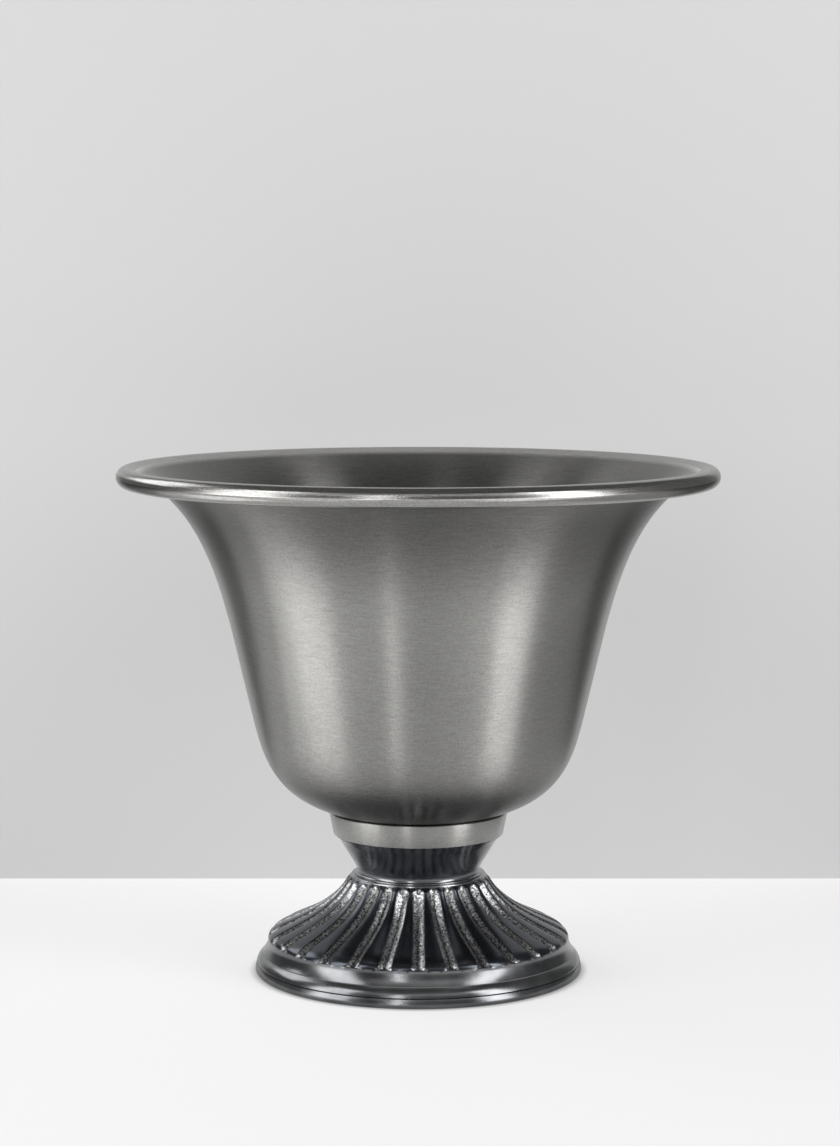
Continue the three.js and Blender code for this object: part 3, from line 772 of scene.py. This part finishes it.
groove_top = foot_base + BASE_BAND_HEIGHT + GROOVE
arris = groove_top + QUARTER_ROUND_HEIGHT
cove_top = arris + ARRIS + COVE_HEIGHT
quarter_top_radius = foot_radius - GROOVE - QUARTER_ROUND_WIDTH
hub_top = neck_low[2] - SEAT_GAP
hub_bottom = hub_top - HUB_WEB
boss_bottom = hub_bottom - HUB_BOSS_HEIGHT
flute_top = Vector((FLUTE_TOP_RADIUS, foot_top - FLUTE_TOP_DROP))
shoulder = [
    *curve_points(
        Vector((COVE_TOP_RADIUS, cove_top)),
        Vector((COVE_TOP_RADIUS, cove_top + SHOULDER_RISE)),
        Vector((CONE_PULL_RADIUS, CONE_PULL_HEIGHT)),
        flute_top,
        CURVE_SAMPLES,
    ),
    flute_top.lerp(Vector((LEDGE_RADIUS + LEDGE_EDGE, foot_top - LEDGE_EDGE)), ARCH_REACH),
]
lengths = np.cumsum([0, *[(b - a).length for a, b in zip(shoulder, shoulder[1:])]])
arch_radius = FLUTE_TOP_WIDTH / 2
arch_start = lengths[-1] - arch_radius
rows = np.concatenate([
    np.linspace(0, TONGUE_LENGTH, TONGUE_ROWS, endpoint=False),
    np.linspace(TONGUE_LENGTH, arch_start, SHOULDER_ROWS, endpoint=False),
    arch_start + arch_radius * np.sin(np.linspace(0, math.pi / 2, ARCH_ROWS)),
])
land_rings = np.column_stack([
    np.interp(rows, lengths, [point.x for point in shoulder]),
    np.interp(rows, lengths, [point.y for point in shoulder]),
])
hollow_radius = foot_radius - BASE_RING_INSET - BASE_RING_WIDTH
hollow = [
    point
    for point in inside_of(shoulder[::HOLLOW_STRIDE], FOOT_WALL)
    if point.y < hub_bottom and point.x < hollow_radius
]
foot_section = [
    *arc_points(
        Vector((foot_radius - BASE_ROUND, foot_base + BASE_ROUND)),
        BASE_ROUND,
        -math.pi / 2,
        0,
        EDGE_STEPS,
    ),
    *quadratic(
        Vector((foot_radius, foot_base + BASE_ROUND)),
        Vector((foot_radius, foot_base + (BASE_ROUND + BASE_BAND_HEIGHT) / 2)),
        Vector((foot_radius - BASE_LEAN, foot_base + BASE_BAND_HEIGHT)),
        EDGE_STEPS,
    )[1:],
    Vector((foot_radius - BASE_LEAN - GROOVE / 2, foot_base + BASE_BAND_HEIGHT)),
    *quadratic(
        Vector((foot_radius - GROOVE, groove_top)),
        Vector((foot_radius - GROOVE - QUARTER_PULL[0], groove_top + QUARTER_PULL[1])),
        Vector((quarter_top_radius, arris)),
        EDGE_STEPS,
    ),
    *quadratic(
        Vector((quarter_top_radius, arris + ARRIS)),
        Vector((COVE_TOP_RADIUS, (arris + ARRIS + cove_top) / 2)),
        Vector((COVE_TOP_RADIUS, cove_top)),
        EDGE_STEPS,
    )[:-1],
    *[Vector(ring) for ring in land_rings],
    *arc_points(Vector((LEDGE_RADIUS, foot_top - LEDGE_EDGE)), LEDGE_EDGE, 0, math.pi / 2, LEDGE_STEPS),
    Vector((FOOT_SPIGOT_RADIUS + SEAT_GAP, foot_top)),
    Vector((FOOT_SPIGOT_RADIUS + SEAT_GAP, hub_top)),
    Vector((BOLT_HOLE_RADIUS, hub_top)),
    Vector((BOLT_HOLE_RADIUS, boss_bottom)),
    Vector((HUB_BOSS_RADIUS, boss_bottom)),
    Vector((HUB_BOSS_RADIUS, hub_bottom)),
    Vector((hollow[-1].x, hub_bottom)),
    *reversed(hollow),
    Vector((hollow_radius, cove_top - FOOT_WALL)),
    Vector((hollow_radius, foot_base)),
]
foot = turned("fluted_foot", foot_section, FLUTE_COUNT, FLUTE_COLUMNS)


def carve_flutes(piece):
    """Moves the points of the shoulder into 29 flutes, and marks shoulder and flutes for their finishes."""
    points = np.empty(3 * len(piece.data.vertices))
    piece.data.vertices.foreach_get("co", points)
    points = points.reshape(-1, 3)
    radius = np.hypot(points[:, 0], points[:, 1])
    turn = np.arctan2(points[:, 0], -points[:, 1])
    section = np.column_stack([radius, points[:, 2]])
    gaps = np.linalg.norm(section[:, None, :] - land_rings[None, :, :], axis=2)
    row = gaps.argmin(axis=1)
    on_land = (gaps.min(axis=1) < 2 * SAME_PLACE) & (row > 0)

    tangents = np.gradient(land_rings, rows, axis=0)
    tangents /= np.linalg.norm(tangents, axis=1)[:, None]
    up = rows[row]
    share = up / lengths[-1]
    ring_radius = land_rings[row, 0]
    half_pitch = math.pi * ring_radius / FLUTE_COUNT
    half = (FLUTE_BOTTOM_WIDTH + (FLUTE_TOP_WIDTH - FLUTE_BOTTOM_WIDTH) * share) / 2
    from_mouth = np.clip(1 - up / TONGUE_LENGTH, 0, 1)
    half = half + TONGUE_CORNER * (1 - np.sqrt(1 - from_mouth**2))
    into_arch = np.clip((up - arch_start) / arch_radius, 0, 1)
    arch_half = np.maximum(half * np.sqrt(1 - into_arch**2), half / FLUTE_TIP_NARROWING)

    column = np.round(turn / (2 * math.pi) * FLUTE_COUNT * FLUTE_COLUMNS).astype(int)
    flute = np.floor_divide(column + FLUTE_COLUMNS // 2, FLUTE_COLUMNS)
    place = column - flute * FLUTE_COLUMNS
    across = place / GROOVE_COLUMNS
    in_groove = np.abs(across) <= 1
    beyond = (np.abs(place) - GROOVE_COLUMNS) / (FLUTE_COLUMNS / 2 - GROOVE_COLUMNS)
    sideways = np.where(
        in_groove,
        across * arch_half,
        np.sign(place) * (arch_half + beyond * (half_pitch - arch_half)),
    )
    reach = np.hypot(across * arch_half / half, into_arch)
    floor_rise = np.clip(1 - up / FLOOR_RUN, 0, 1)
    depth = FLUTE_DEPTH * np.clip(1 - reach**VALLEY_POWER, 0, 1) * np.sqrt(1 - floor_rise**2)
    crown = LAND_CROWN * np.clip(1 - beyond, 0, 1)**2
    depth = np.where(in_groove, depth + crown, crown)

    rough = np.clip(CAST_LUMP_FADE * (1 - reach), 0, 1) * np.clip(up / FLOOR_RUN, 0, 1)
    rough = np.where(in_groove, rough, 0)
    for i in np.flatnonzero(on_land & (rough > 0)):
        lump = noise.noise(Vector(points[i]) / CAST_LUMP)
        depth[i] += CAST_LUMP_HEIGHT * rough[i] * lump

    angle = flute * 2 * math.pi / FLUTE_COUNT + sideways / ring_radius
    out = ring_radius - depth * tangents[row, 1]
    carved = np.column_stack([
        out * np.sin(angle),
        -out * np.cos(angle),
        land_rings[row, 1] + depth * tangents[row, 0],
    ])
    points[on_land] = carved[on_land]
    piece.data.vertices.foreach_set("co", points.ravel())
    piece.data.update()

    # Less silver in the valleys, where dark patina stays, and less towards the flutes' lower ends.
    silver_share = VALLEY_WORN + (1 - VALLEY_WORN) * np.clip(reach / VALLEY_REACH, 0, 1)
    silver_share = silver_share * (SILVER_AT_MOUTH + (1 - SILVER_AT_MOUTH) * share)
    cast = np.where(on_land & in_groove, np.clip(CAST_FADE * (1 - reach), 0, 1) * silver_share, 0)
    for name, values in {"shoulder_land": on_land.astype(float), "rough_cast": cast}.items():
        piece.data.attributes.new(name, "FLOAT", "POINT").data.foreach_set("value", values)


def foot_zones(tree, place, smears, colour, rough, normal):
    """The plating's colour, roughness and relief, changed for the foot's zones. The shoulder is darker and
    bluer, and its flutes are rough and worn to silver."""
    land = add_node(tree, "ShaderNodeAttribute", attribute_name="shoulder_land").outputs["Fac"]
    colour = toned(tree, land, colour, LAND_NAVY)
    rough = between(tree, land, rough, ranged(tree, smears, *LAND_ROUGHNESS))
    cast = add_node(tree, "ShaderNodeAttribute", attribute_name="rough_cast").outputs["Fac"]
    lumps = noise_of(tree, place, CAST_GRAIN_PER_METRE, CAST_GRAIN_DETAIL)
    colour = toned(tree, cast, colour, toned(tree, ranged(tree, lumps, 0, 1), CAST_DARK, CAST_SILVER))
    rough = between(tree, cast, rough, ranged(tree, lumps, *CAST_ROUGHNESS))
    normal = add_node(tree, "ShaderNodeBump", {
        "Height": worked_out(tree, "MULTIPLY", lumps, cast),
        "Distance": CAST_GRAIN_HEIGHT,
        "Normal": normal,
    }).outputs["Normal"]
    return colour, rough, normal


carve_flutes(foot)
bpy.ops.object.shade_smooth_by_angle(angle=FOOT_SMOOTH_UNDER)
foot_metal = gunmetal(
    "dark_pewter_foot",
    GUNMETAL,
    GUNMETAL_WORN,
    foot_top - 2 * LEDGE_EDGE,
    foot_top - LEDGE_EDGE,
    zones=foot_zones,
)
dress(foot, "foot", foot_metal)

# Tie bolt and nut
# A zinc-plated M8 bolt holds the stack together, from the bowl's floor to the hub inside the foot. Its head
# and the nut have turned chamfers, and its thread shows below the nut.
HEX_ACROSS_FLATS = 0.013
HEX_CHAMFER = 0.0007
BOLT_RADIUS = 0.004
NUT_BORE_RADIUS = 0.0043
THREAD_PITCH = 0.00125
THREAD_DEPTH = 0.0006
THREAD_STEP = 0.00012
THREAD_LENGTH = 0.004
BOLT_TIP_CHAMFER = 0.0008
BOLT_STEPS = 3
CUT_OVERRUN = 0.001
STEEL_DARK = (0.42, 0.42, 0.43, 1)
STEEL_LIGHT = (0.6, 0.6, 0.61, 1)
STEEL_ROUGHNESS = (0.28, 0.42)


def cut_with(piece, cutter, operation):
    """Joins, cuts or trims a piece with another solid, which is used up."""
    change = piece.modifiers.new(cutter.name, "BOOLEAN")
    change.operation = operation
    change.solver = "EXACT"
    change.object = cutter
    bpy.ops.object.select_all(action="DESELECT")
    bpy.context.view_layer.objects.active = piece
    piece.select_set(True)
    bpy.ops.object.modifier_apply(modifier=change.name)
    mesh = cutter.data
    bpy.data.objects.remove(cutter)
    bpy.data.meshes.remove(mesh)


def hexagon(name, base, top, chamfers):
    """A hexagonal block with its corners turned back at the ends that chamfers names."""
    corner_radius = HEX_ACROSS_FLATS / math.sqrt(3)
    bpy.ops.object.select_all(action="DESELECT")
    bpy.ops.mesh.primitive_cylinder_add(
        vertices=6, radius=corner_radius, depth=top - base, location=(0, 0, (base + top) / 2),
    )
    block = bpy.context.object
    block.name = name
    block.data.name = name
    bpy.ops.object.transform_apply(location=True, rotation=True, scale=True)
    flat = HEX_ACROSS_FLATS / 2
    clear = corner_radius + CUT_OVERRUN
    trim = turned("trim", [
        Vector((0, base - CUT_OVERRUN)),
        Vector((flat - CUT_OVERRUN if "base" in chamfers else clear, base - CUT_OVERRUN)),
        Vector((clear, base + HEX_CHAMFER if "base" in chamfers else base)),
        Vector((clear, top - HEX_CHAMFER if "top" in chamfers else top)),
        Vector((flat - CUT_OVERRUN if "top" in chamfers else clear, top + CUT_OVERRUN)),
        Vector((0, top + CUT_OVERRUN)),
    ], SECTORS, BOLT_STEPS)
    cut_with(block, trim, "INTERSECT")
    return block


def steel(name):
    """Zinc-plated steel, slightly cloudy, with faint turning marks."""
    return brushed_metal(name, STEEL_DARK, STEEL_LIGHT, STEEL_ROUGHNESS, stretch=0, cloud_share=CLOUD_SHARE)


bolt_low, bolt_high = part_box("tie_bolt")
washer_low, washer_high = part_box("head_washer")
nut_low, nut_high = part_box("nut")
head_base = washer_high[2]
tip = bolt_low[2]
thread_rows = np.arange(tip + BOLT_TIP_CHAMFER, tip + THREAD_LENGTH, THREAD_STEP)
tie_bolt = turned("tie_bolt_shank", [
    Vector((0, tip)),
    Vector((BOLT_RADIUS - BOLT_TIP_CHAMFER, tip)),
    *[Vector((BOLT_RADIUS, height)) for height in thread_rows],
    Vector((BOLT_RADIUS, head_base + CUT_OVERRUN)),
    Vector((0, head_base + CUT_OVERRUN)),
], SECTORS, BOLT_STEPS)
for vertex in tie_bolt.data.vertices:
    x, y, z = vertex.co
    if math.hypot(x, y) > BOLT_RADIUS - SAME_PLACE and z < tip + THREAD_LENGTH:
        phase = (z / THREAD_PITCH - math.atan2(y, x) / (2 * math.pi)) % 1
        shrink = 1 - THREAD_DEPTH / BOLT_RADIUS * abs(2 * phase - 1)
        vertex.co = (x * shrink, y * shrink, z)
cut_with(tie_bolt, hexagon("head", head_base, bolt_high[2], ("top",)), "UNION")
bpy.ops.object.shade_smooth_by_angle(angle=SMOOTH_UNDER)
dress(tie_bolt, "tie_bolt", steel("zinc_plated_bolt"))

hex_nut = hexagon("hex_nut", nut_low[2], nut_high[2], ("base", "top"))
bore = turned("bore", [
    Vector((0, nut_low[2] - CUT_OVERRUN)),
    Vector((NUT_BORE_RADIUS, nut_low[2] - CUT_OVERRUN)),
    Vector((NUT_BORE_RADIUS, nut_high[2] + CUT_OVERRUN)),
    Vector((0, nut_high[2] + CUT_OVERRUN)),
], SECTORS, BOLT_STEPS)
cut_with(hex_nut, bore, "DIFFERENCE")
bpy.ops.object.shade_smooth_by_angle(angle=SMOOTH_UNDER)
dress(hex_nut, "nut", steel("zinc_plated_nut"))

# Washers
# A rubber seal washer and a steel washer under the bolt's head keep the bowl tight. A steel washer and a
# split lock washer lie between the hub's boss and the nut.
WASHER_EDGE = 0.0002
LOCK_HOLE_RADIUS = 0.0043
LOCK_SLOT = math.radians(14)
WASHER_STEPS = 4
RUBBER_DARK = (0.018, 0.018, 0.018, 1)
RUBBER_LIGHT = (0.035, 0.035, 0.035, 1)
RUBBER_ROUGHNESS = (0.6, 0.8)
RUBBER_GRAIN_PER_METRE = 3000
RUBBER_GRAIN_DETAIL = 2


def washer(name, node, hole_radius):
    """A flat ring with broken edges, in the place of a node."""
    low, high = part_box(node)
    ring = turned(name, [
        Vector((hole_radius, low[2])),
        Vector((high[0], low[2])),
        Vector((high[0], high[2])),
        Vector((hole_radius, high[2])),
    ], SECTORS, WASHER_STEPS)
    ease_corners(ring, WASHER_EDGE)
    bpy.ops.object.shade_smooth_by_angle(angle=SMOOTH_UNDER)
    return ring


washer_steel = steel("zinc_plated_washer")
head_washer = washer("head_washer_ring", "head_washer", BOLT_HOLE_RADIUS)
dress(head_washer, "head_washer", washer_steel)
hub_washer = washer("hub_washer_ring", "hub_washer", BOLT_HOLE_RADIUS)
dress(hub_washer, "hub_washer", washer_steel)

lock_washer = washer("lock_washer_ring", "lock_washer", LOCK_HOLE_RADIUS)
low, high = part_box("lock_washer")
bpy.ops.object.select_all(action="DESELECT")
bpy.ops.mesh.primitive_cube_add(size=1)
slot = bpy.context.object
slot.name = "slot"
slot.scale = (
    2 * high[0],
    (LOCK_HOLE_RADIUS + high[0]) * math.sin(LOCK_SLOT / 2),
    2 * (high[2] - low[2]),
)
slot.location = (high[0], 0, (low[2] + high[2]) / 2)
bpy.ops.object.transform_apply(location=True, rotation=True, scale=True)
cut_with(lock_washer, slot, "DIFFERENCE")
bpy.ops.object.shade_smooth_by_angle(angle=SMOOTH_UNDER)
dress(lock_washer, "lock_washer", steel("spring_steel"))

seal_washer = washer("seal_washer_ring", "seal_washer", BOLT_HOLE_RADIUS)
material, tree = new_material("seal_rubber")
grain = noise_of(tree, object_place(tree), RUBBER_GRAIN_PER_METRE, RUBBER_GRAIN_DETAIL)
bump = add_node(tree, "ShaderNodeBump", {"Height": grain, "Distance": GRAIN_HEIGHT})
rubber = add_node(tree, "ShaderNodeBsdfPrincipled", {
    "Base Color": toned(tree, ranged(tree, grain, 0, 1), RUBBER_DARK, RUBBER_LIGHT),
    "Roughness": ranged(tree, grain, *RUBBER_ROUGHNESS),
    "Normal": bump.outputs["Normal"],
})
add_node(tree, "ShaderNodeOutputMaterial", {"Surface": rubber.outputs["BSDF"]})
dress(seal_washer, "seal_washer", material)
